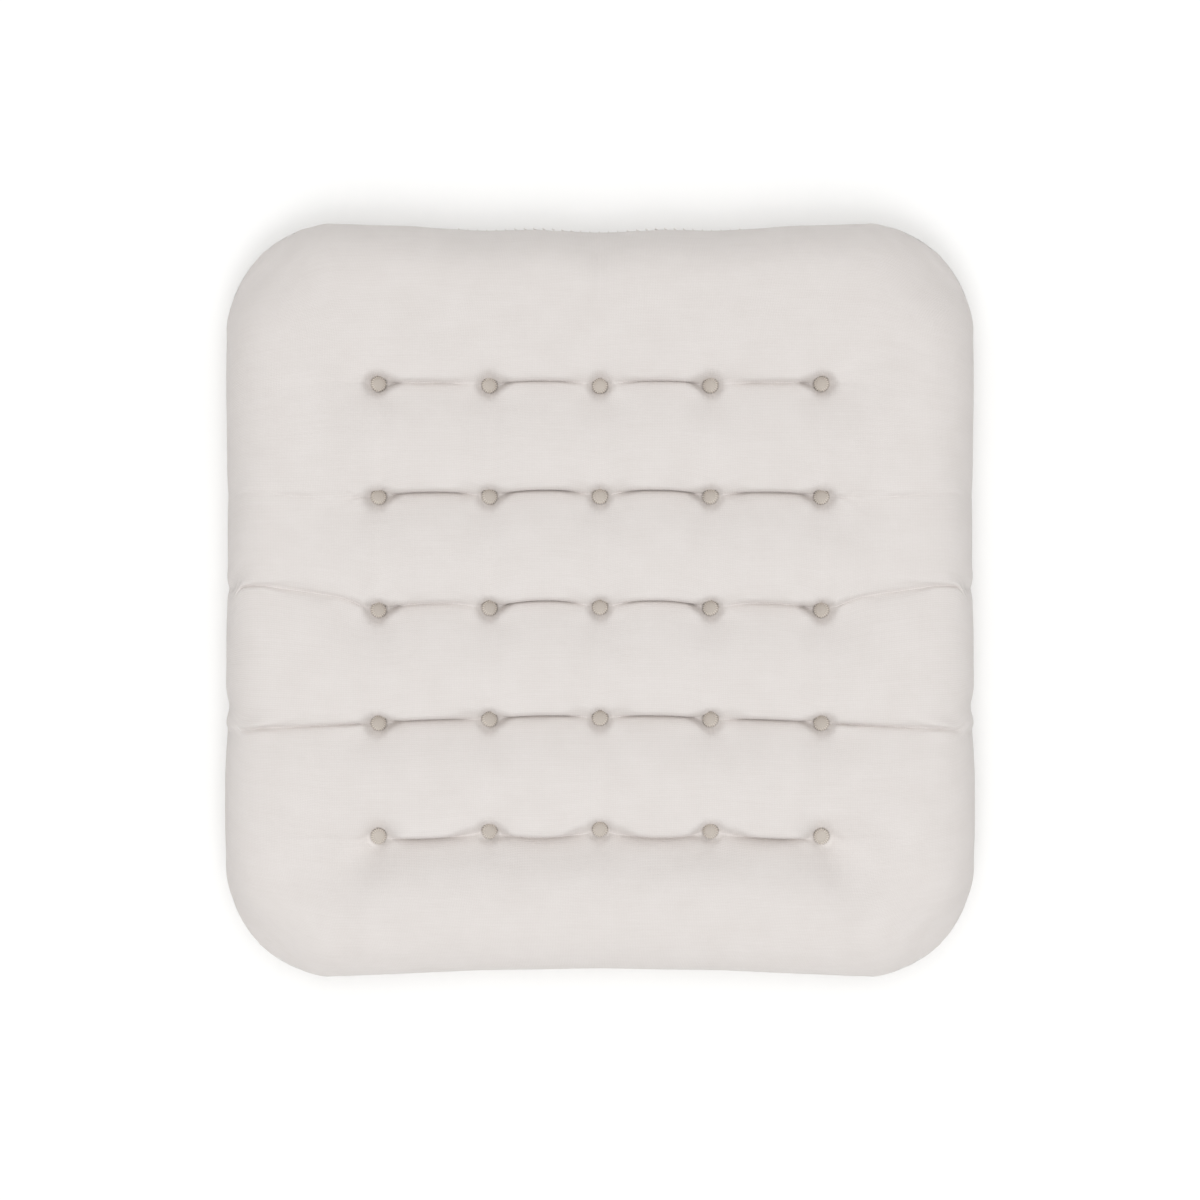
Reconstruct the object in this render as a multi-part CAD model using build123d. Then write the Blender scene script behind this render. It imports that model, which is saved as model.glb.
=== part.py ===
from build123d import *
import math
import os

# A square tufted chair seat pad: a cover of two cloth panels joined by one seam round the side,
# a foam core wrapped in wadding, and a grid of tufts sewn right through it.
# Millimetres. +Z is up, +Y is the rear edge, and the origin is under the middle of the pad, on
# the plane that it rests on.

# The pad
pad_width = 400.0  # over the round corners, along X
pad_depth = 400.0  # along Y
pad_height = 50.0
corner_radius = 55.0
side_waist = 1.5  # how far the left and right edges draw in at their middle
end_waist = 5.0  # how far the rear and front edges draw in
top_edge_radius = 24.0
base_edge_radius = 18.0
seam_height = 22.0

# The tufts
columns = 5
rows = 5
column_pitch = 58.7
row_pitch = 58.6
grid_shift = -4.0  # the grid sits a little nearer the front edge
rear_row_bow = 1.0  # how far the rear row's ends curl back, towards the rear
bow_step = 1.2  # each row further forward turns this much more the other way
top_well_depth = 16.0
base_well_depth = 12.0
well_seat_radius = 5.2

# The stitched discs and the twine that draws them together
disc_radius = 4.0
disc_thickness = 1.6
wrap = 0.4  # thickness of the stitches round a disc's rim
wrap_reach = 0.9  # how far in over the disc those stitches come
twine_radius = 1.2

# The cover and the seam inside it
cloth = 0.8
allowance = 10.0  # width of cloth turned in at the seam
thread = 0.4
lockstitch_inset = 1.6  # from the inner face of the cloth to the line of stitches
lockstitch_width = 0.8
overlock_reach = 2.0  # how far the edge stitches reach over the cloth
overlock_bulge = 0.5  # and how far they stand past its raw edge
closing_length = 150.0
closing_pitch = 5.0
closing_stitch = (3.2, 0.4, 1.4)
closing_clear = 0.002  # keeps a straight stitch off the hollow curve of the edge

# The foam core
core_margin = 24.0
core_bottom = 15.0
core_top = 31.0

top_floor = pad_height - top_well_depth
half_x = pad_width / 2 - corner_radius
half_y = pad_depth / 2 - corner_radius


def hollow_side(half_span, reach, waist):
    """The long arc that runs into two corner arcs: its centre's distance, radius and half turn."""
    joined = (half_span**2 + waist**2) / (2 * waist)
    radius = joined - corner_radius
    return reach - waist + radius, radius, math.asin(half_span / joined)


end_centre, end_radius, end_turn = hollow_side(half_x, pad_depth / 2, end_waist)
side_centre, side_radius, side_turn = hollow_side(half_y, pad_width / 2, side_waist)


def outline(inset):
    """The pad's plan shape as a face, drawn in by inset all round."""
    radius = corner_radius - inset
    start, middle, finish = -side_turn, math.pi / 4, math.pi / 2 + end_turn

    def corner_point(x_sign, y_sign, angle):
        across = x_sign * (half_x + radius * math.cos(angle))
        return across, y_sign * (half_y + radius * math.sin(angle))

    edges = []
    for x_sign in (1, -1):
        for y_sign in (1, -1):
            points = [corner_point(x_sign, y_sign, angle) for angle in (start, middle, finish)]
            edges.append(ThreePointArc(*points))
    for sign in (1, -1):
        rear = (0, sign * (end_centre - end_radius - inset))
        side = (sign * (side_centre - side_radius - inset), 0)
        edges.append(ThreePointArc(corner_point(1, sign, finish), rear, corner_point(-1, sign, finish)))
        edges.append(ThreePointArc(corner_point(sign, 1, start), side, corner_point(sign, -1, start)))
    return make_face(edges)


def slab(inset, low, high):
    """The plan shape, drawn in by inset, between two heights."""
    return extrude(Pos(0, 0, low) * outline(inset), high - low)


def band(outer_inset, inner_inset, low, high):
    """A flat ring that follows the pad's edge."""
    return slab(outer_inset, low, high) - slab(inner_inset, low, high)


def tuft_rows():
    """The centre of each tuft, row by row from the rear one forwards."""
    centres = []
    for row in range(rows):
        row_y = grid_shift + (rows - 1 - 2 * row) * row_pitch / 2
        bow = row * bow_step - rear_row_bow
        line = []
        for column in range(columns):
            share = 2 * column / (columns - 1) - 1
            line.append((share * (columns - 1) * column_pitch / 2, row_y - bow * share**2))
        centres.append(line)
    return centres


def shaft(radius, low, high):
    """An upright round bar."""
    return Pos(0, 0, low) * Cylinder(radius, high - low, align=(Align.CENTER, Align.CENTER, Align.MIN))


def well(depth, inset):
    """A trumpet-shaped pit with its mouth on z 0, grown by inset all over."""
    clear = 5.0
    wall = well_seat_radius + inset
    mouth = well_seat_radius + depth
    shoulder = (depth - inset) * math.cos(math.pi / 4)
    lip = ThreePointArc((wall, -depth), (mouth - shoulder, shoulder - depth), (mouth, -inset))
    rest = Polyline((mouth, -inset), (mouth, clear), (0, clear), (0, -depth), (wall, -depth))
    trumpet = revolve(Plane.XZ * make_face([lip, *rest.edges()]), Axis.Z)
    return trumpet + shaft(wall, -depth - inset, -inset)


def pillow(inset):
    """The whole pad as one soft solid with its wells, drawn in by inset all over."""
    low, high = inset, pad_height - inset
    body = slab(inset, low, high)
    body = fillet(body.faces().sort_by(Axis.Z)[-1].edges(), top_edge_radius - inset)
    body = fillet(body.faces().sort_by(Axis.Z)[0].edges(), base_edge_radius - inset)
    top_well = well(top_well_depth, inset)
    base_well = Rot(180, 0, 0) * well(base_well_depth, inset)
    for line in tuft_rows():
        body -= [Pos(x, y, pad_height) * top_well for x, y in line]
        body -= [Pos(x, y, 0) * base_well for x, y in line]
    return body


def wrapped_rim():
    """The stitches that hold a disc: a cup open at the middle of its top, standing on z 0."""
    height = disc_thickness + 2 * wrap
    cup = shaft(disc_radius + wrap, 0, height) - shaft(disc_radius, wrap, wrap + disc_thickness)
    return cup - shaft(disc_radius - wrap_reach, wrap, height + 1)


def closing_row():
    """The short stitches that close the filling gap, along the seam in the middle of the rear edge."""
    stitches = []
    count = int(closing_length / closing_pitch) + 1
    for number in range(count):
        turn = (number - (count - 1) / 2) * closing_pitch / end_radius
        reach = end_radius - closing_clear
        foot = (reach * math.sin(turn), end_centre - reach * math.cos(turn), seam_height)
        stitch = Box(*closing_stitch, align=(Align.CENTER, Align.MIN, Align.CENTER))
        stitches.append(Pos(*foot) * Rot(0, 0, math.degrees(turn)) * stitch)
    return stitches


def write(name, *solids):
    """Saves one node, of one or more separate solids."""
    export_step(solids[0] if len(solids) == 1 else Compound(children=list(solids)), f"parts/{name}.step")


os.makedirs("parts", exist_ok=True)
tufts = tuft_rows()
every_tuft = [Pos(x, y, 0) for line in tufts for x, y in line]
holes = [place * shaft(twine_radius, -5, pad_height + 5) for place in every_tuft]

outside = pillow(0)
inside = pillow(cloth)
above = Pos(0, 0, seam_height) * Box(500, 500, 100, align=(Align.CENTER, Align.CENTER, Align.MIN))
below = Pos(0, 0, seam_height) * Box(500, 500, 100, align=(Align.CENTER, Align.CENTER, Align.MAX))
shell = outside - inside

fin_end = cloth + allowance
fin_top = band(cloth / 2, fin_end, seam_height, seam_height + cloth)
fin_base = band(cloth / 2, fin_end, seam_height - cloth, seam_height)
cover_top = (shell & above) + fin_top - holes
cover_base = (shell & below) + fin_base - holes
write("cover_top", cover_top)
write("cover_base", cover_base)

stitch_line = cloth + lockstitch_inset
upper_thread = band(stitch_line, stitch_line + lockstitch_width, seam_height + cloth, seam_height + cloth + thread)
lower_thread = band(stitch_line, stitch_line + lockstitch_width, seam_height - cloth - thread, seam_height - cloth)
write("lockstitch_upper_thread", upper_thread)
write("lockstitch_lower_thread", lower_thread)

edge_low, edge_high = seam_height - cloth - thread, seam_height + cloth + thread
overlock = band(fin_end - overlock_reach, fin_end + overlock_bulge, edge_low, edge_high)
overlock -= [fin_top, fin_base]
write("overlock_thread", overlock)
write("closing_stitches", *closing_row())

core = slab(core_margin, core_bottom, core_top)
write("foam_core", core - holes)
wadding = inside - [core, fin_top, fin_base, upper_thread, lower_thread, overlock]
write("wadding_top", (wadding & above) - holes)
write("wadding_base", (wadding & below) - holes)

disc = shaft(disc_radius, wrap, wrap + disc_thickness)
face_up = Pos(0, 0, top_floor)
face_down = Pos(0, 0, base_well_depth) * Rot(180, 0, 0)
twine = face_up * wrapped_rim() + shaft(twine_radius, base_well_depth, top_floor) + face_down * wrapped_rim()
for number, line in enumerate(tufts, start=1):
    places = [Pos(x, y, 0) for x, y in line]
    write(f"tuft_disc_top_row_{number}", *[place * face_up * disc for place in places])
    write(f"tuft_disc_base_row_{number}", *[place * face_down * disc for place in places])
    write(f"tuft_twine_row_{number}", *[place * twine for place in places])
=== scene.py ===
import math

import bmesh
import bpy
import numpy as np
from mathutils import Matrix, Vector


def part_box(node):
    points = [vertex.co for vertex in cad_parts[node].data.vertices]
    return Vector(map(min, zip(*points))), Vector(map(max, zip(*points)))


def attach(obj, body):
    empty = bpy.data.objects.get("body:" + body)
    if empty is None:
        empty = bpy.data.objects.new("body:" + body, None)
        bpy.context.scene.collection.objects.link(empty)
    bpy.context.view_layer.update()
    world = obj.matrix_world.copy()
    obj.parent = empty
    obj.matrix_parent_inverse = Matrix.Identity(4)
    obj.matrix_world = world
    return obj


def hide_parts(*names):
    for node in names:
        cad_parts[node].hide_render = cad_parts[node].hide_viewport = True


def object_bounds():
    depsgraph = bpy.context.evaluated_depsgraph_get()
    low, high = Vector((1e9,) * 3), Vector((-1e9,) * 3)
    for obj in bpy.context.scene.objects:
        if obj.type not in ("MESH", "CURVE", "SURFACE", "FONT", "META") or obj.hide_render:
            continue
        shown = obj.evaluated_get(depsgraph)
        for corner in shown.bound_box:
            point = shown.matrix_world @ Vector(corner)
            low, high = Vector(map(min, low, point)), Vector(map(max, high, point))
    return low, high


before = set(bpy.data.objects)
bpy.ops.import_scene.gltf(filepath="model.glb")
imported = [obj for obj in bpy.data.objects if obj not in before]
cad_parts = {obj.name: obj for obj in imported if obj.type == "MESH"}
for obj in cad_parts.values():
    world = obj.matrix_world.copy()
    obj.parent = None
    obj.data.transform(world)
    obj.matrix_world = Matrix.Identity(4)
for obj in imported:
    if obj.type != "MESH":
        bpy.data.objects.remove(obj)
cad_low, cad_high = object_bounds()
MM = 0.001


# ---------------------------------------------------------------- studio
# The pad lies on a white table and is seen from straight above. One broad light hangs high over
# its front edge, inside a white room that fills every shadow.
VIEW_WIDTH = 639 * MM  # across the camera's view, at the height of the pad's middle
LENS = 85.0
LAMP_SIZE = 1.2
LAMP_ENERGY = 10.0
LAMP_PLACE = (0.0, -1.35, 2.1)
TABLE_HALF = 6.0
TABLE_WHITE = "fcfcfb"
WALL_GLOW = 0.15
CEILING_GLOW = 1.61
SIDE_DARKNESS = 0.45

scene = bpy.context.scene
scene.view_settings.view_transform = "Standard"
camera_data = bpy.data.cameras.new("camera")
camera = bpy.data.objects.new("camera", camera_data)
scene.collection.objects.link(camera)
scene.camera = camera
camera_data.lens = LENS
camera.location = (0, 0, cad_high.z / 2 + VIEW_WIDTH / camera_data.sensor_width * LENS)

lamp = bpy.data.lights.new("front_softbox", "AREA")
lamp.size = LAMP_SIZE
lamp.energy = LAMP_ENERGY
softbox = bpy.data.objects.new("front_softbox", lamp)
scene.collection.objects.link(softbox)
softbox.location = LAMP_PLACE
softbox.rotation_mode = "QUATERNION"
softbox.rotation_quaternion = softbox.location.to_track_quat("Z", "Y")


def linear(colour):
    """The linear colour, with alpha, of an sRGB hex value."""
    shares = [int(colour[at : at + 2], 16) / 255 for at in (0, 2, 4)]
    return *[s / 12.92 if s < 0.04045 else ((s + 0.055) / 1.055) ** 2.4 for s in shares], 1.0


def node(tree, kind, settings, inputs):
    """Adds a node with its settings, and gives each input a value or the socket that feeds it."""
    new = tree.nodes.new("ShaderNode" + kind)
    for name, value in settings.items():
        setattr(new, name, value)
    for name, value in inputs.items():
        if isinstance(value, bpy.types.NodeSocket):
            tree.links.new(value, new.inputs[name])
        else:
            new.inputs[name].default_value = value
    return new


def new_material(name):
    """An empty material, its node tree and its main shader."""
    material = bpy.data.materials.new(name)
    material.use_nodes = True
    return material, material.node_tree, material.node_tree.nodes["Principled BSDF"]


def new_piece(name, bm, material):
    """Turns a bmesh into a smooth-shaded object with one material."""
    mesh = bpy.data.meshes.new(name)
    bm.to_mesh(mesh)
    bm.free()
    mesh.materials.append(material)
    mesh.polygons.foreach_set("use_smooth", [True] * len(mesh.polygons))
    piece = bpy.data.objects.new(name, mesh)
    scene.collection.objects.link(piece)
    return piece


def new_thread(name, runs, radius, looped, material):
    """Round thread along each run of points, as one smooth-shaded object."""
    curve = bpy.data.curves.new(name, "CURVE")
    curve.dimensions = "3D"
    curve.bevel_depth = radius
    curve.bevel_resolution = 1
    curve.use_fill_caps = not looped
    for run in runs:
        spline = curve.splines.new("POLY")
        spline.points.add(len(run) - 1)
        spline.points.foreach_set("co", np.insert(run, 3, 1.0, axis=1).ravel())
        spline.use_cyclic_u = looped
    drawn = bpy.data.objects.new(name, curve)
    bm = bmesh.new()
    bm.from_mesh(bpy.data.meshes.new_from_object(drawn))
    bpy.data.objects.remove(drawn)
    bmesh.ops.recalc_face_normals(bm, faces=bm.faces)
    return new_piece(name, bm, material)


def fibrous(name, shade, colour, stretch, roughness, relief):
    """A matt material of fine fibres: noise stretched along the fibres tints and raises it."""
    material, tree, shader = new_material(name)
    place = node(tree, "TexCoord", {}, {}).outputs["Object"]
    along = node(tree, "VectorMath", {"operation": "MULTIPLY"}, {0: place, 1: stretch}).outputs[0]
    fibres = node(tree, "TexNoise", {}, {"Vector": along, "Scale": 1.0, "Detail": 4.0}).outputs["Fac"]
    tint = node(
        tree,
        "Mix",
        {"data_type": "RGBA"},
        {"Factor": fibres, "A": linear(shade), "B": linear(colour)},
    )
    bump = node(tree, "Bump", {}, {"Strength": 0.5, "Distance": relief, "Height": fibres})
    tree.links.new(tint.outputs["Result"], shader.inputs["Base Color"])
    tree.links.new(bump.outputs["Normal"], shader.inputs["Normal"])
    shader.inputs["Roughness"].default_value = roughness
    shader.inputs["IOR"].default_value = 1.5
    shader.inputs["Specular IOR Level"].default_value = 0.3
    shader.inputs["Sheen Weight"].default_value = 0.15
    return material


# The room's white ceiling is brighter than its walls, and the walls at the sides are darkest.
world = bpy.data.worlds.new("white_room")
scene.world = world
world.use_nodes = True
tree = world.node_tree
heading = node(tree, "TexCoord", {}, {}).outputs["Generated"]
parts = node(tree, "SeparateXYZ", {}, {0: heading})
sideways = node(tree, "Math", {"operation": "MULTIPLY"}, {0: parts.outputs["X"], 1: parts.outputs["X"]})
openness = node(
    tree,
    "Math",
    {"operation": "MULTIPLY_ADD"},
    {0: sideways.outputs[0], 1: -SIDE_DARKNESS, 2: parts.outputs["Z"]},
).outputs[0]
glow = node(tree, "MapRange", {}, {"Value": openness, "To Min": WALL_GLOW, "To Max": CEILING_GLOW})
tree.links.new(glow.outputs["Result"], tree.nodes["Background"].inputs["Strength"])
tree.nodes["Background"].inputs["Color"].default_value = (1.0, 1.0, 1.0, 1.0)

# Matt laminate: a faint mottle keeps it from looking like empty space.
laminate, tree, shader = new_material("matt_laminate")
place = node(tree, "TexCoord", {}, {}).outputs["Object"]
mottle = node(tree, "TexNoise", {}, {"Vector": place, "Scale": 40.0, "Detail": 3.0})
rough = node(tree, "MapRange", {}, {"Value": mottle.outputs["Fac"], "To Min": 0.6, "To Max": 0.7})
tree.links.new(rough.outputs["Result"], shader.inputs["Roughness"])
shader.inputs["Base Color"].default_value = linear(TABLE_WHITE)
shader.inputs["Specular IOR Level"].default_value = 0.2

bm = bmesh.new()
bmesh.ops.create_grid(bm, x_segments=1, y_segments=1, size=TABLE_HALF)
new_piece("table", bm, laminate)


# ---------------------------------------------------------------- cover
# Two square panels of off-white brushed cotton, sewn face to face all round, turned and filled.
# They are tufted to each other, and the cloth between the tufts stands up in soft ridges, with a
# fold along each row where two ridges press together.
CLOTH = 0.8 * MM
ALLOWANCE = 10 * MM  # turned in beyond the seam
SEAM_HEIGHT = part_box("cover_top")[0].z
SEAM_REACH = cad_high.x - 0.5 * MM  # the seam lies in a groove, just inside the widest line
PROUD = 1.8 * MM  # how far the cloth swells out past the seam
PROUD_SPREAD = 3.0 * MM
CORNER = 60 * MM
END_WAIST = 4.8 * MM  # the rear and front edges draw in at their middle, the sides hardly
SIDE_WAIST = 1.4 * MM
WAIST_HALF = 145 * MM
LONGER = 1.009  # front to rear, against side to side
LOBE_DEPTH = 0.85 * MM  # the rear edge is drawn in by a row of shallow lobes, the front one less
LOBE_LENGTH = 10.5 * MM
LOBES_HALF = 120 * MM
FRONT_LOBES = 0.3
SIDE_DENTS = [(6.4 * MM, 3 * MM, 0.9 * MM), (-56 * MM, 6 * MM, 1.9 * MM)]  # y, spread and depth
DISC_WIDTH = 8 * MM
COLUMNS = 5
ROWS = 5
MIDDLE = COLUMNS // 2


def disc_centres(row):
    """The middles of the five discs in a row, from left to right."""
    name = f"tuft_disc_top_row_{row}"
    points = np.array([vert.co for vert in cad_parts[name].data.vertices])
    low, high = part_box(name)
    pitch = (high.x - low.x - DISC_WIDTH) / (COLUMNS - 1)
    column = np.round((points[:, 0] - low.x - DISC_WIDTH / 2) / pitch)
    discs = [points[column == number] for number in range(COLUMNS)]
    return [((disc.min(0) + disc.max(0)) / 2)[:2] for disc in discs]


tufts = np.array([disc_centres(row) for row in range(1, ROWS + 1)])


def is_front_corner(row, column):
    """Whether a tuft is at a front corner, where the cloth is pulled less."""
    return row == ROWS - 1 and column in (0, COLUMNS - 1)


def eased(share):
    """The same share, from 0 to 1, with a soft start and end."""
    return share * share * (3 - 2 * share)


def line_places(knots, counts, crowding, half_cut):
    """Where the cloth's grid lines fall: one on each knot and on each seam, and closer near them."""
    stops = [-half_cut, *knots, half_cut]
    places = [-half_cut - ALLOWANCE, -half_cut]
    for start, stop, count in zip(stops[:-1], stops[1:], counts):
        share = np.arange(1, count + 1) / count
        share -= crowding * np.sin(2 * math.pi * share) / (2 * math.pi)
        places.extend(start + (stop - start) * share)
    return np.array([*places, half_cut + ALLOWANCE])


def draw_in(x, y):
    """The waists, lobes and small dents that the tufting leaves in the square's outline."""
    arch = END_WAIST * np.maximum(1 - (x / WAIST_HALF) ** 2, 0)
    lobes = LOBE_DEPTH * np.cos(x / LOBE_LENGTH) * np.maximum(1 - (x / LOBES_HALF) ** 4, 0)
    arch += lobes * np.where(y > 0, 1.0, FRONT_LOBES)
    side = SIDE_WAIST * np.maximum(1 - (y / WAIST_HALF) ** 2, 0)
    for place, spread, depth in SIDE_DENTS:
        side += depth * np.exp(-(((y - place) / spread) ** 2))
    reach = cad_high.x
    x = x - np.sign(x) * side * (x / reach) ** 6
    y = y * LONGER - np.sign(y) * arch * (y / reach) ** 2
    return x, y


def sewn_shape(across, along, roll):
    """Where points of the flat square come to lie once its edge is rolled down to the seam.

    Also gives each point's distance in from the outline."""
    inward, upward = roll
    tiny = 1e-9
    turn_length = math.pi / 4 * (inward + upward)
    far = np.maximum(np.abs(across), np.abs(along))
    near = np.minimum(np.abs(across), np.abs(along))
    from_seam = SEAM_REACH - inward + turn_length - far
    turn = np.clip(from_seam / turn_length, 0, 1) * math.pi / 2
    inset = inward * (1 - np.cos(turn)) + np.maximum(from_seam - turn_length, 0)
    inset -= PROUD * (1 - np.exp(-np.maximum(from_seam, 0) / PROUD_SPREAD)) * np.cos(turn) ** 2
    inset += np.maximum(-from_seam, 0)
    height = upward * np.sin(turn)
    reach = SEAM_REACH - inset
    radius = np.maximum(CORNER - inset, 0)
    side = reach - radius
    step = near / np.maximum(far, tiny) * (side + radius * math.pi / 4)
    bend = np.maximum(step - side, 0) / np.maximum(radius, tiny)
    long = side + radius * np.cos(bend)
    short = np.minimum(step, side) + radius * np.sin(bend)
    wide = np.abs(across) >= np.abs(along)
    x = np.where(wide, long, short) * np.sign(across)
    y = np.where(wide, short, long) * np.sign(along)
    x, y = draw_in(x, y)
    return np.stack([x, y, height], axis=1), inset, from_seam


# Each row's fold, from the rear row: how far behind the discs it lies, how far it bows in the
# outer and in the inner gaps, how low the cloth in front of it starts, and how deep the closed
# slit under that is in the outer and in the inner gaps, all in millimetres.
ROW_FOLDS = [
    (0.6, 0.2, 1.6, 6.4, 1.2, 3.6),
    (0.8, 1.8, 2.8, 9.0, 4.2, 4.4),
    (0.5, 3.0, 3.4, 7.4, 0.8, 3.2),
    (0.6, 0.6, 1.4, 9.0, 3.6, 3.6),
    (-0.6, -1.6, -3.0, 11.5, 2.4, 2.8),
]
# Outside the last disc, the same fold 0, 20, 60 and 80 mm further out: how far it has moved
# towards the rear, and its valley and slit.
SIDE_STEPS = (0, 20, 60, 80)
SIDE_FOLDS = [
    ((0, 0, 0, 0), (4.6, 1.2, 0.2, 0), (1, 0, 0, 0)),
    ((0, -2, 1, 2), (5, 2.4, 1.4, 0.8), (2, 0.9, 0.7, 0.3)),
    ((0, 7, 12.5, 11.5), (6, 3.0, 2.4, 1.6), (1.4, 1.0, 2.0, 1.6)),
    ((0, -1.1, -3, -4.5), (7, 4.4, 3.4, 2.2), (3, 2.4, 3.2, 3.0)),
    ((0, 0, 0, 0), (7, 3.0, 0.8, 0), (1, 0.3, 0, 0)),
]
SEAT_RADIUS = 4.6 * MM  # of the cloth pinched under a disc
OVERHANG = (0.3, 0.5, 0.5, 0.5, 0.4)  # how far each row's ridge leans forward over its discs
OVERHANG_SPREAD = 9 * MM
REAR_BANK = 10 * MM  # the ridge behind a fold ends in a soft brow and then a steep wall, and the
FRONT_BANK = 26 * MM  # one in front of it starts low and rises in a long arc
FRONT_ROW_BANK = 10 * MM  # by how much that arc is longer at the front row
BROW_SHARE = 0.12
STEP_WIDTH = 0.7 * MM
SLIT_WIDTH = 0.5 * MM
FADED_WIDTH = 2.5 * MM
BOWL = 4.0 * MM  # the wide part of each well, above its steep wall
WELL_WIDTH = 0.9 * MM  # how soon the steep wall rises from the disc
WING_LENGTH = 10.0 * MM  # each well runs out into its row's fold, on the side nearer the middle
WING_RADII = (4.2 * MM, 0.7 * MM)
WING_RISE = 3.5 * MM
DIMPLE_STEP = 1.5 * MM  # how far a front corner disc is sunk into the floor of its open dimple
BOWL_BANK = 6 * MM
BOWL_FRONT_BANK = 22 * MM
# Soft valleys in the plain cloth, with their depths and widths at both ends, in millimetres. Those
# that come in pairs are given for the right side. First the ones that run out from a corner tuft,
# with its row and their far end.
CORNER_VALLEYS = [
    (0, (166, 138), (4.0, 0.3), (6, 8)),
    (-1, (172, -158), (11.0, 3.0), (9, 16)),
    (-1, (144, -165), (11.0, 3.0), (8, 14)),
]
SIDE_CREASE = ((128, -5), (174, -7), (1.8, 0.8), (2, 2))  # a second one beside the middle row
CORNER_DROP = (190, 188, 7, 42)  # the pad's own corners fall away, between these two reaches
COLUMN_VALLEY = ((1.8, 1.8), (5, 5))  # from each disc to the one behind it
PUCKER_COLUMNS = (-88, -47, 0, 47, 88)  # the gathers at the rear edge
PUCKER_REACH = (190, 148)
PUCKER_VALLEY = ((3.4, 0.0), (2.4, 4.5))


def arc_bank(away, bank):
    """1 at a fold and 0 a bank's width away, shaped like the end of a filled ridge."""
    return np.clip(1 - np.abs(away) / bank, 0, 1) ** 2


def seat_slope(row, column):
    """How a top disc leans: the rise of its seat along x and along y."""
    across = 0.3 * np.sign(column - MIDDLE)
    return across, (-0.1, -0.24, -0.24, -0.24, -0.06)[row]


def row_fold(row, x):
    """A row's fold at x: its y, its valley's and slit's depth, and how far the slit has faded."""
    discs = tufts[row]
    lift, *bows, valley, outer_slit, inner_slit = (value * MM for value in ROW_FOLDS[row])
    place = np.clip((x - discs[0, 0]) / (discs[1, 0] - discs[0, 0]), 0, COLUMNS - 1)
    column = np.minimum(place, COLUMNS - 1.001).astype(int)
    gap = place - column
    inwards = np.where(column < MIDDLE, gap, 1 - gap)
    fading = np.clip((0.95 - inwards) / 0.3, 0, 1)
    outer = (column == 0) | (column == COLUMNS - 2)
    bow = np.where(outer, *bows)
    slit = np.where(outer, outer_slit, inner_slit) * fading
    beyond = np.maximum(np.abs(x) - discs[-1, 0], 0)
    rise, side_valley, side_slit = (
        np.interp(beyond, np.array(SIDE_STEPS) * MM, np.array(depths) * MM)
        for depths in SIDE_FOLDS[row]
    )
    line = np.interp(x, discs[:, 0], discs[:, 1]) + lift + bow * 4 * gap * (1 - gap) + rise
    outside = beyond > 0
    faded = np.where(outside, 0.12, 1 - fading)
    return line, np.where(outside, side_valley, valley), np.where(outside, side_slit, slit), faded


def soft_valley(x, y, start, end, depth, width):
    """A shallow valley between two points, with its depth and width at each in millimetres."""
    depth = np.array(depth) * MM
    width = np.array(width) * MM
    run = np.subtract(end, start)
    share = np.clip(((x - start[0]) * run[0] + (y - start[1]) * run[1]) / (run @ run), 0, 1)
    away = np.hypot(x - start[0] - share * run[0], y - start[1] - share * run[1])
    reach = width[0] + (width[1] - width[0]) * share
    return (depth[0] + (depth[1] - depth[0]) * share) * np.exp(-((away / reach) ** 2))


def deepest(depths):
    """Blends several depths, so that where they meet the deepest one counts."""
    return (np.array(depths) ** 4).sum(axis=0) ** 0.25


def disc_well(x, y, row, column, line, full_depth):
    """A disc's well: its bowl, its steep wall, its wing's wall, and each point's way to the seat."""
    disc = tufts[row, column]
    side = np.sign(MIDDLE - column)
    radius = np.maximum(np.hypot(x - disc[0], y - disc[1]), 1e-6)
    from_disc = np.maximum(radius - SEAT_RADIUS, 0)
    share = np.clip(((x - disc[0]) * side) / WING_LENGTH, 0, 1)
    wing_y = disc[1] + (np.minimum(line - disc[1], WING_RISE)) * share
    from_wing = np.hypot(x - disc[0] - side * WING_LENGTH * share, y - wing_y)
    from_wing = np.maximum(from_wing - WING_RADII[0] + share * (WING_RADII[0] - WING_RADII[1]), 0)
    front = 0.5 - 0.5 * (y - disc[1]) / radius
    steep = full_depth - BOWL
    bowl = BOWL * (1 + 1.2 * front**2)
    if is_front_corner(row, column):
        bowl = full_depth - DIMPLE_STEP
        steep = DIMPLE_STEP
    bank = BOWL_BANK + BOWL_FRONT_BANK * front**2
    wall = steep * np.exp(-((from_disc / WELL_WIDTH) ** 1.2))
    wing_wall = steep * (1 - 0.3 * share) * np.exp(-((from_wing / WELL_WIDTH) ** 1.2))
    return bowl * arc_bank(from_disc, bank), wall, wing_wall, from_disc


def plain_valleys(x, y):
    """The soft valleys at the corners, beside the middle row and along the rear edge."""
    valleys = []
    for side in (-1, 1):
        for row, end, *shape in CORNER_VALLEYS:
            corner_tuft = tufts[row, MIDDLE + MIDDLE * side]
            valleys.append(soft_valley(x, y, corner_tuft, (side * end[0] * MM, end[1] * MM), *shape))
        inner, outer, *shape = SIDE_CREASE
        crease_ends = (side * inner[0] * MM, inner[1] * MM), (side * outer[0] * MM, outer[1] * MM)
        valleys.append(soft_valley(x, y, *crease_ends, *shape))
        far, near, depth, width = CORNER_DROP
        for end in (-1, 1):
            corner = (side * far * MM, end * far * MM), (side * near * MM, end * near * MM)
            valleys.append(soft_valley(x, y, *corner, (depth,) * 2, (width,) * 2))
    for across in PUCKER_COLUMNS:
        ends = [(across * MM, reach * MM) for reach in PUCKER_REACH]
        valleys.append(soft_valley(x, y, *ends, *PUCKER_VALLEY))
    return valleys


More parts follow.
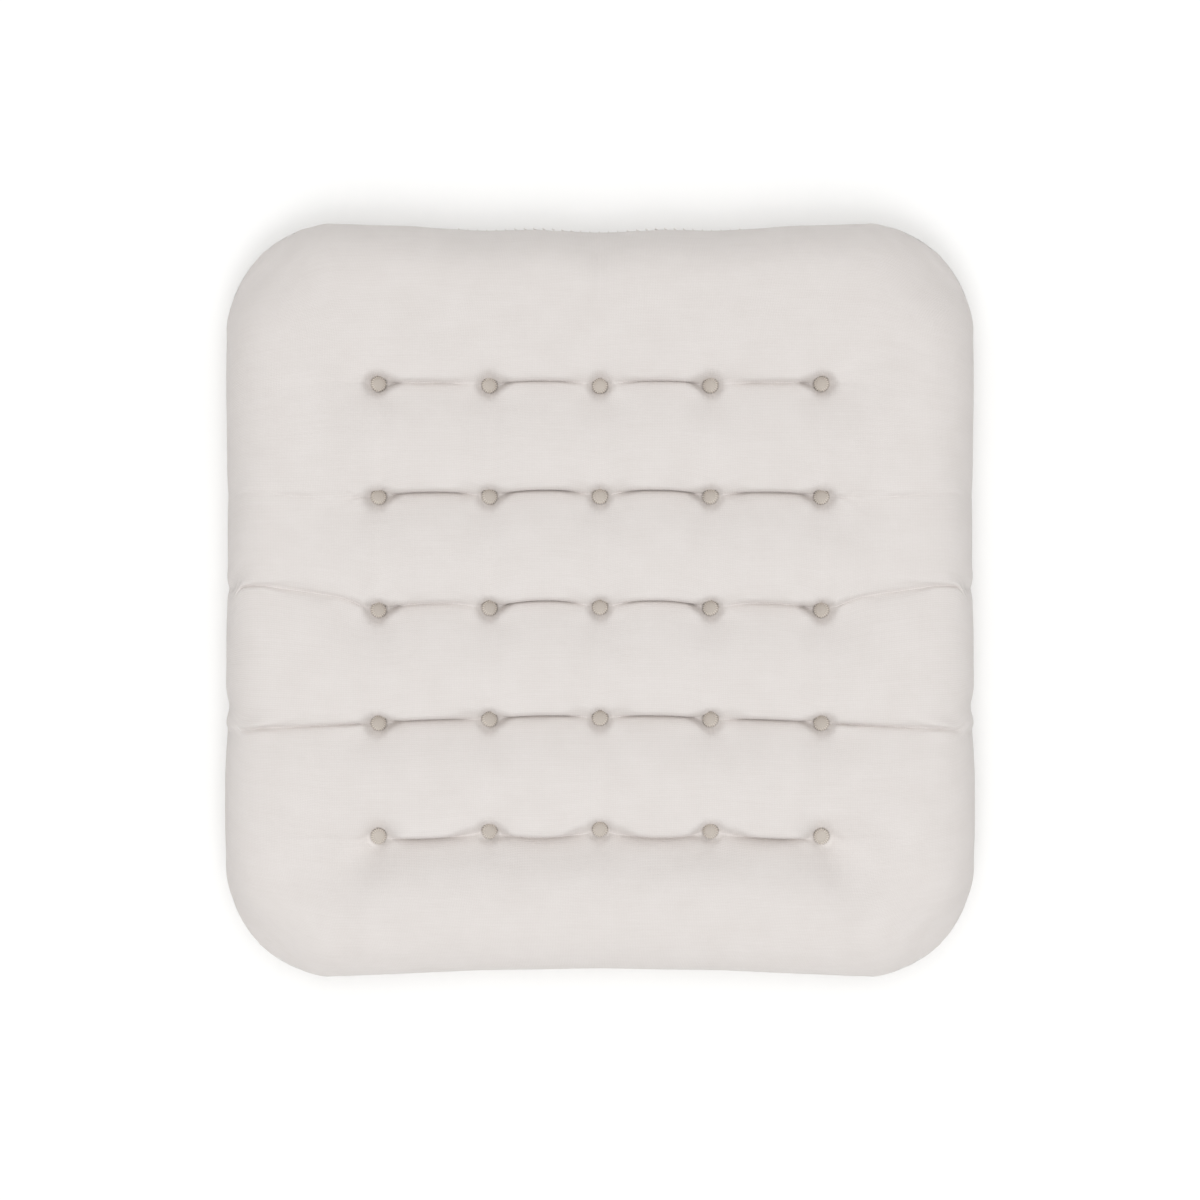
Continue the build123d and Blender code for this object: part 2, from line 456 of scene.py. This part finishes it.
def tufted_depth(x, y, full_depth):
    """How far the tufting draws the cloth in at each point, how far the lean of the discs lifts it
    again, and where a disc holds it."""
    valleys = []
    slits = []
    held = np.zeros(len(x), bool)
    lean = np.zeros(len(x))
    for row in range(ROWS):
        line, valley, slit, faded = row_fold(row, x)
        away = y - line
        step = (1 - BROW_SHARE) * np.exp(-((np.abs(away) / (STEP_WIDTH * (1 + 4 * faded))) ** 1.5))
        brow = BROW_SHARE * arc_bank(away, REAR_BANK) + step
        front_bank = FRONT_BANK + (FRONT_ROW_BANK if row == ROWS - 1 else 0)
        valleys.append(valley * np.where(away > 0, brow, arc_bank(away, front_bank)))
        width = SLIT_WIDTH + FADED_WIDTH * faded
        slits.append(slit * np.exp(-((np.abs(away) / width) ** 1.3)))
        for column in range(COLUMNS):
            disc = tufts[row, column]
            bowl, *walls, from_disc = disc_well(x, y, row, column, line, full_depth)
            valleys.append(bowl)
            slits.extend(walls)
            held |= from_disc == 0
            rise = seat_slope(row, column) @ np.array([x - disc[0], y - disc[1]])
            lean += rise * np.exp(-((from_disc / WELL_WIDTH) ** 2))
            if row > 0:
                valleys.append(soft_valley(x, y, tufts[row - 1, column], disc, *COLUMN_VALLEY))
    valleys.extend(plain_valleys(x, y))
    return np.minimum(deepest(valleys) + deepest(slits), full_depth), lean, held


def follow_rows(x, y):
    """Slides the cloth's lines across, so that one of them lies along each row's fold."""
    moved = y.copy()
    for row in range(ROWS):
        knot = tufts[row, MIDDLE, 1]
        spread = tufts[0, MIDDLE, 1] - tufts[1, MIDDLE, 1]
        share = 0.5 + 0.5 * np.cos(np.clip((y - knot) / spread, -1, 1) * math.pi)
        moved += (row_fold(row, x)[0] - knot) * share
    return moved


def close_slits(x, y):
    """Draws the two sides of each fold together, so that they nearly touch."""
    moved = y.copy()
    for row in range(ROWS):
        line, _, slit, faded = row_fold(row, x)
        away = y - line
        from_discs = np.abs(x[:, None] - tufts[row, :, 0]).min(axis=1) - SEAT_RADIUS
        grip = 0.85 * (1 - faded) * np.clip(slit / (2.0 * MM), 0, 1)
        grip *= np.clip(from_discs / (6 * MM), 0, 1)
        moved -= away * grip * np.exp(-((away / (2.4 * MM)) ** 2))
    return moved


def lean_over(x, y, rising):
    """Leans each ridge's foot over the discs in front of it. rising is 0 on a seat, 1 on top."""
    moved = y.copy()
    for row in range(ROWS):
        for column in range(COLUMNS):
            disc = tufts[row, column]
            away = y - disc[1]
            near = np.exp(-((np.hypot(x - disc[0], away) / OVERHANG_SPREAD) ** 2))
            share = np.where(away > 0, OVERHANG[row], 0.15) * np.clip(rising / 0.3, 0, 1)
            if is_front_corner(row, column):
                share = 0
            moved -= away * share * near
    return moved


PANEL_GAP = 0.02 * MM  # keeps the two panels' allowances from touching
FOLLOW_WIDTH = 9 * MM  # over this width in from the outline, the cloth's lines turn to the folds
TUFTING_WIDTH = 8 * MM  # and over this one, in from the seam, the tufting begins to draw it in


def sewn_panel(name, side, roll, seat_height, lines_between, lines_outside):
    """One panel of the cover, tufted but not yet filled out, with what the filling needs to know."""
    pitch_lines = [lines_outside, *[lines_between] * 4, lines_outside]
    half_cut = SEAM_REACH - roll[0] + math.pi / 4 * (roll[0] + roll[1])
    plateau = SEAM_HEIGHT + side * roll[1]
    full_depth = abs(plateau - seat_height)
    x_lines = line_places(tufts[0, :, 0], pitch_lines, 0.5, half_cut)
    y_lines = line_places(tufts[::-1, MIDDLE, 1], pitch_lines, 0.72, half_cut)
    last = len(x_lines) - 1

    bm = bmesh.new()
    bmesh.ops.create_grid(bm, x_segments=last, y_segments=last, size=1)
    if side < 0:
        bmesh.ops.reverse_faces(bm, faces=bm.faces)
    places = np.array([(vert.co.x, vert.co.y) for vert in bm.verts])
    lines = np.round((places + 1) / 2 * last).astype(int)
    flat = np.stack([x_lines[lines[:, 0]], y_lines[lines[:, 1]]], axis=1)
    sewn, inset, from_seam = sewn_shape(flat[:, 0], flat[:, 1], roll)
    share = eased(np.clip(inset / FOLLOW_WIDTH, 0, 1))
    sewn[:, 1] += (follow_rows(sewn[:, 0], sewn[:, 1]) - sewn[:, 1]) * share
    sewn[:, 2] = SEAM_HEIGHT + side * (sewn[:, 2] + PANEL_GAP)
    for vert, place in zip(bm.verts, sewn):
        vert.co = place
    bm.normal_update()
    normals = np.array([vert.normal for vert in bm.verts])
    layer = bm.loops.layers.uv.new("cloth")
    for face in bm.faces:
        for loop in face.loops:
            loop[layer].uv = flat[loop.vert.index]
    mesh = bpy.data.meshes.new(name)
    bm.to_mesh(mesh)
    bm.free()

    lookup = np.zeros((last + 1,) * 2, int)
    lookup[lines[:, 0], lines[:, 1]] = np.arange(len(lines))
    depth, lean, seated = tufted_depth(sewn[:, 0], sewn[:, 1], full_depth)
    depth *= np.clip(from_seam / TUFTING_WIDTH, 0, 1)
    if side > 0:
        depth -= lean
    start = sewn - normals * depth[:, None]
    start[:, 1] = close_slits(start[:, 0], start[:, 1])
    if side > 0:
        start[:, 1] = lean_over(start[:, 0], start[:, 1], 1 - depth / full_depth)
    return {
        "mesh": mesh,
        "side": side,
        "lines": lines,
        "lookup": lookup,
        "last": last,
        "inset": inset,
        "from_seam": from_seam,
        "start": start,
        "held": seated | (from_seam < 0.1 * MM),
    }


def slit_floors(panel):
    """The points at the bottom of each closed fold, which the pull of the twine keeps down."""
    start = panel["start"]
    floors = np.zeros(len(start), bool)
    for row in range(ROWS):
        line, valley, slit, _ = row_fold(row, start[:, 0])
        floors |= (np.abs(start[:, 1] - line) < 0.15 * MM) & (valley + slit > 4.0 * MM)
    return floors & (panel["from_seam"] > 12 * MM)


# A short cloth simulation of the filling's pressure. Uncapped, most points would move several
# times further than MOST_MOVED, and some further than the pad is thick, even at a much lower
# pressure. So it only puffs the cloth out a little, and the formulas above shape the folds.
CLOTH_STEPS = 18
SLACK_X = 0.005  # how much larger the cloth is cut than the shape that it starts from
SLACK_Y = 0.015
MOST_MOVED = 2.5 * MM


def fill_out(panel):
    """Puffs the tufted cloth out by up to MOST_MOVED, and returns where its points end up."""
    mesh = panel["mesh"]
    start = panel["start"]
    cut = start * (1 + SLACK_X, 1 + SLACK_Y, 1)
    cloth_object = bpy.data.objects.new("cloth", mesh.copy())
    scene.collection.objects.link(cloth_object)
    cloth_object.data.vertices.foreach_set("co", start.ravel())
    cloth_object.shape_key_add(name="start")
    rest = cloth_object.shape_key_add(name="cut")
    rest.data.foreach_set("co", cut.ravel())
    group = cloth_object.vertex_groups.new(name="held")
    held = panel["held"] | slit_floors(panel)
    group.add([int(index) for index in np.nonzero(held)[0]], 1.0, "REPLACE")
    modifier = cloth_object.modifiers.new("cloth", "CLOTH")
    cloth = modifier.settings
    cloth.quality = 6
    cloth.mass = 0.1
    cloth.tension_stiffness = 40
    cloth.compression_stiffness = 15
    cloth.shear_stiffness = 8
    cloth.bending_stiffness = 0.1
    cloth.tension_damping = cloth.compression_damping = cloth.shear_damping = 10
    cloth.air_damping = 4
    cloth.rest_shape_key = rest
    cloth.vertex_group_mass = "held"
    cloth.use_pressure = True
    cloth.uniform_pressure_force = 70
    cloth.effector_weights.gravity = 0
    modifier.collision_settings.use_collision = False
    modifier.point_cache.frame_start = 1
    modifier.point_cache.frame_end = CLOTH_STEPS + 1
    for step in range(1, CLOTH_STEPS + 1):
        scene.frame_set(step)
    shaped = cloth_object.evaluated_get(bpy.context.evaluated_depsgraph_get())
    done = bpy.data.meshes.new_from_object(shaped)
    points = np.zeros(len(done.vertices) * 3)
    done.vertices.foreach_get("co", points)
    bpy.data.objects.remove(cloth_object)
    bpy.data.meshes.remove(done)
    scene.frame_set(1)
    moved = points.reshape(-1, 3) - start
    length = np.maximum(np.linalg.norm(moved, axis=1), 1e-9)[:, None]
    return start + moved * np.minimum(1, MOST_MOVED / length)


SLIT_GAP = 0.12 * MM  # from the middle of a closed fold to the cloth on each side
SMOOTHINGS = 8
HALVES_BLEND = 24 * MM  # the width over which one half gives way to the mirrored other
BASE_LIFT = 0.05 * MM  # keeps the base from lying in the very plane of what it rests on


def settle(panel, points):
    """Smooths stray wrinkles, keeps folds from crossing, evens out the two halves and lays the
    base on the table."""
    start = panel["start"]
    lookup = panel["lookup"]
    from_folds = np.full(len(start), 1.0)
    for row in range(ROWS):
        line, valley, _, _ = row_fold(row, start[:, 0])
        away = np.where(valley > 1.0 * MM, np.abs(start[:, 1] - line), 1.0)
        from_folds = np.minimum(from_folds, away)
        for disc in tufts[row]:
            from_disc = np.hypot(start[:, 0] - disc[0], start[:, 1] - disc[1]) - 5 * MM
            from_folds = np.minimum(from_folds, from_disc)
    from_folds = np.minimum(from_folds, panel["from_seam"] - 4 * MM)
    ease = 0.5 * np.clip((from_folds - 3 * MM) / (8 * MM), 0, 1)[lookup][1:-1, 1:-1, None]
    for _ in range(SMOOTHINGS):
        grid = points[lookup]
        around = grid[2:, 1:-1] + grid[:-2, 1:-1] + grid[1:-1, 2:] + grid[1:-1, :-2]
        grid[1:-1, 1:-1] += (around / 4 - grid[1:-1, 1:-1]) * ease
        points[lookup] = grid
    for row in range(ROWS):
        line, _, slit, faded = row_fold(row, points[:, 0])
        side = start[:, 1] - row_fold(row, start[:, 0])[0]
        walls = (slit > 1.0 * MM) & (faded < 0.5) & (panel["from_seam"] > 12 * MM)
        rear = walls & (side > 0.1 * MM) & (side < 6 * MM)
        front = walls & (side < -0.1 * MM) & (side > -6 * MM)
        points[rear, 1] = np.maximum(points[rear, 1], (line + SLIT_GAP)[rear])
        points[front, 1] = np.minimum(points[front, 1], (line - SLIT_GAP)[front])
    partner = lookup[panel["last"] - panel["lines"][:, 0], panel["lines"][:, 1]]
    share = eased(np.clip(points[:, 0] / HALVES_BLEND + 0.5, 0, 1)[:, None])
    share = (share + 1 - share[partner]) / 2
    points = points * (1 - share) + points[partner] * (-1, 1, 1) * share
    if panel["side"] < 0:
        points[:, 2] = np.maximum(points[:, 2], BASE_LIFT)
    return points


# Brushed cotton canvas: matt, with a fine even weave, a faint nap that catches the light at
# grazing angles, and slubs where a thread runs thicker. The threads are drawn 0.9 mm apart, about
# twice as coarse as real ones, so that they show.
COTTON = "e0dbd8"
COTTON_SHADE = "d6d0cc"
THREAD_PITCH = 0.9 * MM

cotton, tree, shader = new_material("brushed_cotton_canvas")
cloth_place = node(tree, "UVMap", {"uv_map": "cloth"}, {}).outputs["UV"]
turns = math.pi / THREAD_PITCH
threads = node(tree, "VectorMath", {"operation": "SCALE"}, {"Vector": cloth_place, "Scale": turns})
wobble = node(tree, "TexNoise", {}, {"Vector": cloth_place, "Scale": 900.0, "Detail": 2.0})
uneven = node(
    tree,
    "VectorMath",
    {"operation": "MULTIPLY_ADD"},
    {0: wobble.outputs["Color"], 1: (1.6, 1.6, 0.0), 2: threads.outputs["Vector"]},
)
waves = node(tree, "VectorMath", {"operation": "SINE"}, {0: uneven.outputs["Vector"]})
parts = node(tree, "SeparateXYZ", {}, {0: waves.outputs["Vector"]})
crossing = node(
    tree, "Math", {"operation": "MULTIPLY"}, {0: parts.outputs["X"], 1: parts.outputs["Y"]}
)
weave = node(tree, "Math", {"operation": "ABSOLUTE"}, {0: crossing.outputs[0]})
slub_place = node(
    tree, "VectorMath", {"operation": "MULTIPLY"}, {0: cloth_place, 1: (30.0, 900.0, 1.0)}
)
slubs = node(tree, "TexNoise", {}, {"Vector": slub_place.outputs["Vector"], "Scale": 1.0})
nap = node(tree, "TexNoise", {}, {"Vector": cloth_place, "Scale": 2200.0, "Detail": 3.0})
slubbed = node(
    tree,
    "Math",
    {"operation": "MULTIPLY_ADD"},
    {0: slubs.outputs["Fac"], 1: 0.8, 2: weave.outputs[0]},
)
relief = node(
    tree, "Math", {"operation": "MULTIPLY_ADD"}, {0: nap.outputs["Fac"], 1: 0.7, 2: slubbed.outputs[0]}
)
clouds = node(tree, "TexNoise", {}, {"Vector": cloth_place, "Scale": 55.0, "Detail": 4.0})
grain = node(
    tree,
    "Math",
    {"operation": "MULTIPLY_ADD"},
    {0: clouds.outputs["Fac"], 1: 1.2, 2: relief.outputs[0]},
)
tone = node(
    tree, "MapRange", {}, {"Value": grain.outputs[0], "From Min": 0.9, "From Max": 2.4}
)
tint = node(
    tree,
    "Mix",
    {"data_type": "RGBA"},
    {"Factor": tone.outputs["Result"], "A": linear(COTTON_SHADE), "B": linear(COTTON)},
)
rough = node(tree, "MapRange", {}, {"Value": weave.outputs[0], "To Min": 0.95, "To Max": 0.85})
bump = node(
    tree, "Bump", {}, {"Strength": 0.35, "Distance": 0.25 * MM, "Height": relief.outputs[0]}
)
tree.links.new(tint.outputs["Result"], shader.inputs["Base Color"])
tree.links.new(rough.outputs["Result"], shader.inputs["Roughness"])
tree.links.new(bump.outputs["Normal"], shader.inputs["Normal"])
shader.inputs["IOR"].default_value = 1.45
shader.inputs["Specular IOR Level"].default_value = 0.25
shader.inputs["Sheen Weight"].default_value = 0.12
shader.inputs["Sheen Roughness"].default_value = 0.5

TOP_ROLL = (26 * MM, 25.5 * MM)  # the rounded edge above the seam: inwards and upwards
BASE_ROLL = (19 * MM, 20.5 * MM)
TOP_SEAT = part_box("tuft_disc_top_row_1")[0].z - 0.4 * MM
BASE_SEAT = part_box("tuft_disc_base_row_1")[1].z + 0.4 * MM

panels = {
    "cover_top": sewn_panel("cover_top_cloth", 1, TOP_ROLL, TOP_SEAT, 24, 30),
    "cover_base": sewn_panel("cover_base_cloth", -1, BASE_ROLL, BASE_SEAT, 16, 22),
}
for cad_node, panel in panels.items():
    points = fill_out(panel)
    panel["points"] = settle(panel, points)
    mesh = panel["mesh"]
    mesh.vertices.foreach_set("co", panel["points"].ravel())
    mesh.materials.append(cotton)
    mesh.polygons.foreach_set("use_smooth", [True] * len(mesh.polygons))
    cloth_piece = bpy.data.objects.new(mesh.name, mesh)
    scene.collection.objects.link(cloth_piece)
    finer = cloth_piece.modifiers.new("finer", "SUBSURF")
    finer.levels = finer.render_levels = 1
    thick = cloth_piece.modifiers.new("thick", "SOLIDIFY")
    thick.thickness = CLOTH
    thick.offset = -1
    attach(cloth_piece, "root")
    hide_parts(cad_node)

# ---------------------------------------------------------------- seam threads
# White polyester sewing thread. A lockstitch joins the two panels just inside their edge, one
# thread above and one below, and an overlock stitch binds the raw edges further in. Both end up
# inside the pad. The gap it was filled through is closed by hand at the middle of the rear edge.
STITCH = 3 * MM
LOCKSTITCH_INSET = 2.8 * MM
CLOSING_PITCH = 5 * MM
CLOSING_HALF = 15  # closing stitches on each side of the middle one
# One ladder stitch, from above the seam to below it: each point's lift and way out, in
# millimetres, and its steps along the seam.
LADDER = [(2.1, 0.5, 1), (1.1, 0.35, 1), (0.0, 0.1, 0), (-1.1, 0.35, -1), (-2.1, 0.5, -1)]
SEAM_THREAD_RADIUS = 0.2 * MM
CLOSING_THREAD_RADIUS = 0.25 * MM

# Spun polyester: near white and fairly smooth, with a slight sheen.
polyester_thread = fibrous(
    "polyester_thread", "d8d4cd", "e9e6e1", (2500.0, 2500.0, 2500.0), 0.5, 0.05 * MM
)


def along_seam(inset, pitch):
    """Evenly spaced points on the seam's path, drawn in by inset, and the way out at each."""
    half_cut = SEAM_REACH - TOP_ROLL[0] + math.pi / 4 * sum(TOP_ROLL) + inset
    run = np.linspace(-1, 1, 1500)[:-1]
    end = np.ones_like(run)
    across = np.concatenate([run, end, -run, -end]) * half_cut
    along = np.concatenate([-end, run, end, -run]) * half_cut
    path = sewn_shape(across, along, TOP_ROLL)[0][:, :2]
    path = np.concatenate([path, path[:1]])
    travelled = np.insert(np.cumsum(np.linalg.norm(np.diff(path, axis=0), axis=1)), 0, 0)
    count = round(travelled[-1] / pitch)
    stops = np.arange(count) * travelled[-1] / count
    points = np.stack([np.interp(stops, travelled, path[:, axis]) for axis in (0, 1)], axis=1)
    ahead = np.roll(points, -1, axis=0) - np.roll(points, 1, axis=0)
    ahead /= np.linalg.norm(ahead, axis=1)[:, None]
    return points, np.stack([ahead[:, 1], -ahead[:, 0]], axis=1)


points = along_seam(LOCKSTITCH_INSET, STITCH / 4)[0]
dips = np.resize([0.5, 0.95, 1.05, 0.95], len(points)) * MM
for cad_node, side in (("lockstitch_upper_thread", 1), ("lockstitch_lower_thread", -1)):
    run = np.insert(points, 2, SEAM_HEIGHT + side * dips, axis=1)
    thread = new_thread(f"{cad_node}_run", [run], SEAM_THREAD_RADIUS, True, polyester_thread)
    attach(thread, "root")
    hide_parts(cad_node)

# The overlock's loops go out over the raw edge, round it, and back underneath.
points, outward = along_seam(ALLOWANCE, STITCH / 8)
reach_in = np.resize([-1.6, -0.2, 0.4, -0.2, -1.6, -0.2, 0.4, -0.2], len(points)) * MM
height = np.resize([1.05, 1.0, 0.0, -1.0, -1.05, -1.0, 0.0, 1.0], len(points)) * MM
run = np.insert(points - outward * reach_in[:, None], 2, SEAM_HEIGHT + height, axis=1)
overlock = new_thread("overlock_thread_run", [run], SEAM_THREAD_RADIUS, True, polyester_thread)
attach(overlock, "root")
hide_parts("overlock_thread")

# Slanting ladder stitches that bridge the groove of the seam.
points, outward = along_seam(0.0, CLOSING_PITCH / 10)
middle = np.argmax(points[:, 1] - np.abs(points[:, 0]))
runs = []
for number in range(-CLOSING_HALF, CLOSING_HALF + 1):
    run = []
    for lift, out, slant in LADDER:
        stop = (middle + 10 * number + slant) % len(points)
        x, y = points[stop] + outward[stop] * out * MM
        run.append((x, y, SEAM_HEIGHT + lift * MM))
    runs.append(np.array(run))
closing = new_thread("closing_stitch_row", runs, CLOSING_THREAD_RADIUS, False, polyester_thread)
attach(closing, "root")
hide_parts("closing_stitches")


# ---------------------------------------------------------------- filling
# A cut slab of polyurethane foam, in a wrap of polyester wadding that follows the cloth. None of
# it shows: the wadding is a closed shell between the cloth and the slab, in two halves.
WADDING_GAP = 1.0 * MM  # under the outer face of the cloth
CORE_GAP = 0.2 * MM

# Carded polyester fibre: white, dull and loose, with its fibres drawn out along the rows.
polyester_wadding = fibrous(
    "polyester_wadding", "e6e5e2", "f4f3f1", (300.0, 900.0, 900.0), 0.95, 0.8 * MM
)

# Open-celled foam: cream, dull, with cut cells about 0.8 mm across.
polyurethane_foam, tree, shader = new_material("polyurethane_foam")
place = node(tree, "TexCoord", {}, {}).outputs["Object"]
cells = node(tree, "TexVoronoi", {}, {"Vector": place, "Scale": 1250.0}).outputs["Distance"]
tint = node(
    tree,
    "Mix",
    {"data_type": "RGBA"},
    {"Factor": cells, "A": linear("dfd3b4"), "B": linear("efe6cf")},
)
bump = node(tree, "Bump", {}, {"Strength": 0.6, "Distance": 0.4 * MM, "Height": cells})
tree.links.new(tint.outputs["Result"], shader.inputs["Base Color"])
tree.links.new(bump.outputs["Normal"], shader.inputs["Normal"])
shader.inputs["Roughness"].default_value = 0.9
for material_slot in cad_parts["foam_core"].material_slots:
    material_slot.material = polyurethane_foam

core_low, core_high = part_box("foam_core")
for cad_node, panel in (("wadding_top", panels["cover_top"]), ("wadding_base", panels["cover_base"])):
    side = panel["side"]
    mesh = panel["mesh"]
    normals = np.zeros(len(mesh.vertices) * 3)
    mesh.vertex_normals.foreach_get("vector", normals)
    outer = panel["points"] - normals.reshape(-1, 3) * WADDING_GAP
    core_face = core_high.z if side > 0 else core_low.z
    steps = (1.6 * MM, 0.05 * MM, 0.05 * MM, abs(core_face - SEAM_HEIGHT) + CORE_GAP)
    # Above the turned-in cloth, down to meet the other half, then up over the slab's edge.
    stops = np.array([12.5, 13.5, 20.5, 23.5]) * MM
    floor = np.interp(panel["inset"], stops, steps)
    least = np.where(panel["from_seam"] > 0.1 * MM, 0.3 * MM, 0.0)
    height = np.maximum(side * (outer[:, 2] - SEAM_HEIGHT), floor + least)
    bm = bmesh.new()
    inner_lines = panel["last"] - 2
    lookup = panel["lookup"][1:-1, 1:-1]
    for heights in (height, floor):
        grid = bmesh.ops.create_grid(bm, x_segments=inner_lines, y_segments=inner_lines, size=1)
        for vert in grid["verts"]:
            across = round((vert.co.x + 1) / 2 * inner_lines)
            along = round((vert.co.y + 1) / 2 * inner_lines)
            at = lookup[across, along]
            vert.co = (*outer[at, :2], SEAM_HEIGHT + side * heights[at])
    bmesh.ops.remove_doubles(bm, verts=bm.verts, dist=0.002 * MM)
    bmesh.ops.recalc_face_normals(bm, faces=bm.faces)
    wadding = new_piece(f"{cad_node}_half", bm, polyester_wadding)
    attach(wadding, "root")
    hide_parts(cad_node)


# ---------------------------------------------------------------- tuft discs
# Each tuft is held by two small padded discs of the cover's own cloth, one in the bottom of a well
# in the top and one underneath. The twine's pull on the folds makes the top ones lean.
DISC_PROFILE = [(0, 0), (3.7, 0), (4.0, 0.3), (4.05, 0.9), (3.95, 1.4), (3.6, 1.75), (2.2, 1.95), (0, 2)]
DISC_STEPS = 40

# The cover's own cloth, pulled tight. Its tone is painted shade: darker than the cover's, for the
# shade that falls on discs deep in their wells. A fine mottle stands for its weave.
disc_cloth_painted_shade = fibrous("disc_cotton_painted_shade", "b6aea5", "c8c1b9", (1600.0, 1600.0, 1600.0), 0.9, 0.12 * MM)

bm = bmesh.new()
corners = [bm.verts.new((r * MM, 0, z * MM)) for r, z in DISC_PROFILE]
edges = [bm.edges.new(pair) for pair in zip(corners[:-1], corners[1:])]
bmesh.ops.spin(
    bm,
    geom=corners + edges,
    cent=(0, 0, 0),
    axis=(0, 0, 1),
    angle=2 * math.pi,
    steps=DISC_STEPS,
    use_merge=True,
)
bmesh.ops.remove_doubles(bm, verts=bm.verts, dist=0.01 * MM)
bmesh.ops.recalc_face_normals(bm, faces=bm.faces)
disc_mesh = bpy.data.meshes.new("disc")
bm.to_mesh(disc_mesh)
bm.free()


def disc_place(row, column, side):
    """The place and lean of a disc that lies on its seat."""
    seat = TOP_SEAT if side > 0 else BASE_SEAT
    foot = Vector((*tufts[row, column], seat + side * 0.15 * MM))
    slope = seat_slope(row, column) if side > 0 else (0, 0)
    facing = Vector((-slope[0], -slope[1], side))
    return Matrix.Translation(foot) @ Vector((0, 0, 1)).rotation_difference(facing).to_matrix().to_4x4()


for side_name, side in (("top", 1), ("base", -1)):
    for row in range(ROWS):
        bm = bmesh.new()
        for column in range(COLUMNS):
            first = len(bm.verts)
            bm.from_mesh(disc_mesh)
            bm.verts.ensure_lookup_table()
            place = disc_place(row, column, side)
            bmesh.ops.transform(bm, matrix=place, verts=bm.verts[first:])
        discs = new_piece(f"{side_name}_discs_{row + 1}", bm, disc_cloth_painted_shade)
        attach(discs, "root")
        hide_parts(f"tuft_disc_{side_name}_row_{row + 1}")


# ---------------------------------------------------------------- tufting twine
# Two-ply cotton twine, drawn tight through the filling from each top disc to the one under it,
# and stitched round the rim of both. It has no hole of its own in the cloth.
RIM_STITCHES = 20
RIM_RUN = [(3.0, 2.0), (3.5, 1.98), (4.0, 1.75), (4.28, 1.1), (4.2, 0.2)]
RIM_TWINE_RADIUS = 0.22 * MM
PLY_RADIUS = 0.55 * MM
PLY_OFFSET = 0.6 * MM
PLY_PITCH = 5 * MM

# Undyed cotton: soft and matt, a little yellower than the cloth.
cotton_twine = fibrous("cotton_twine", "cfc8be", "e4ddd4", (1800.0, 1800.0, 1800.0), 0.8, 0.1 * MM)

rim = []
for number in range(RIM_STITCHES):
    turn = 2 * math.pi * number / RIM_STITCHES
    rim.append([(r * MM * math.cos(turn), r * MM * math.sin(turn), z * MM) for r, z in RIM_RUN])
climb = np.linspace(0, 1, 55)
for row in range(ROWS):
    stitches = []
    plies = []
    for column in range(COLUMNS):
        for side in (1, -1):
            place = disc_place(row, column, side)
            stitches.extend(np.array([place @ Vector(point) for point in run]) for run in rim)
        height = BASE_SEAT + (TOP_SEAT - BASE_SEAT) * climb
        for half_turn in (0, math.pi):
            twist = 2 * math.pi * (height - BASE_SEAT) / PLY_PITCH + half_turn
            x = tufts[row, column, 0] + PLY_OFFSET * np.cos(twist)
            y = tufts[row, column, 1] + PLY_OFFSET * np.sin(twist)
            plies.append(np.stack([x, y, height], axis=1))
    for kind, runs, radius in (("stitches", stitches, RIM_TWINE_RADIUS), ("plies", plies, PLY_RADIUS)):
        twine = new_thread(f"twine_{kind}_{row + 1}", runs, radius, False, cotton_twine)
        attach(twine, "root")
        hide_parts(f"tuft_twine_row_{row + 1}")
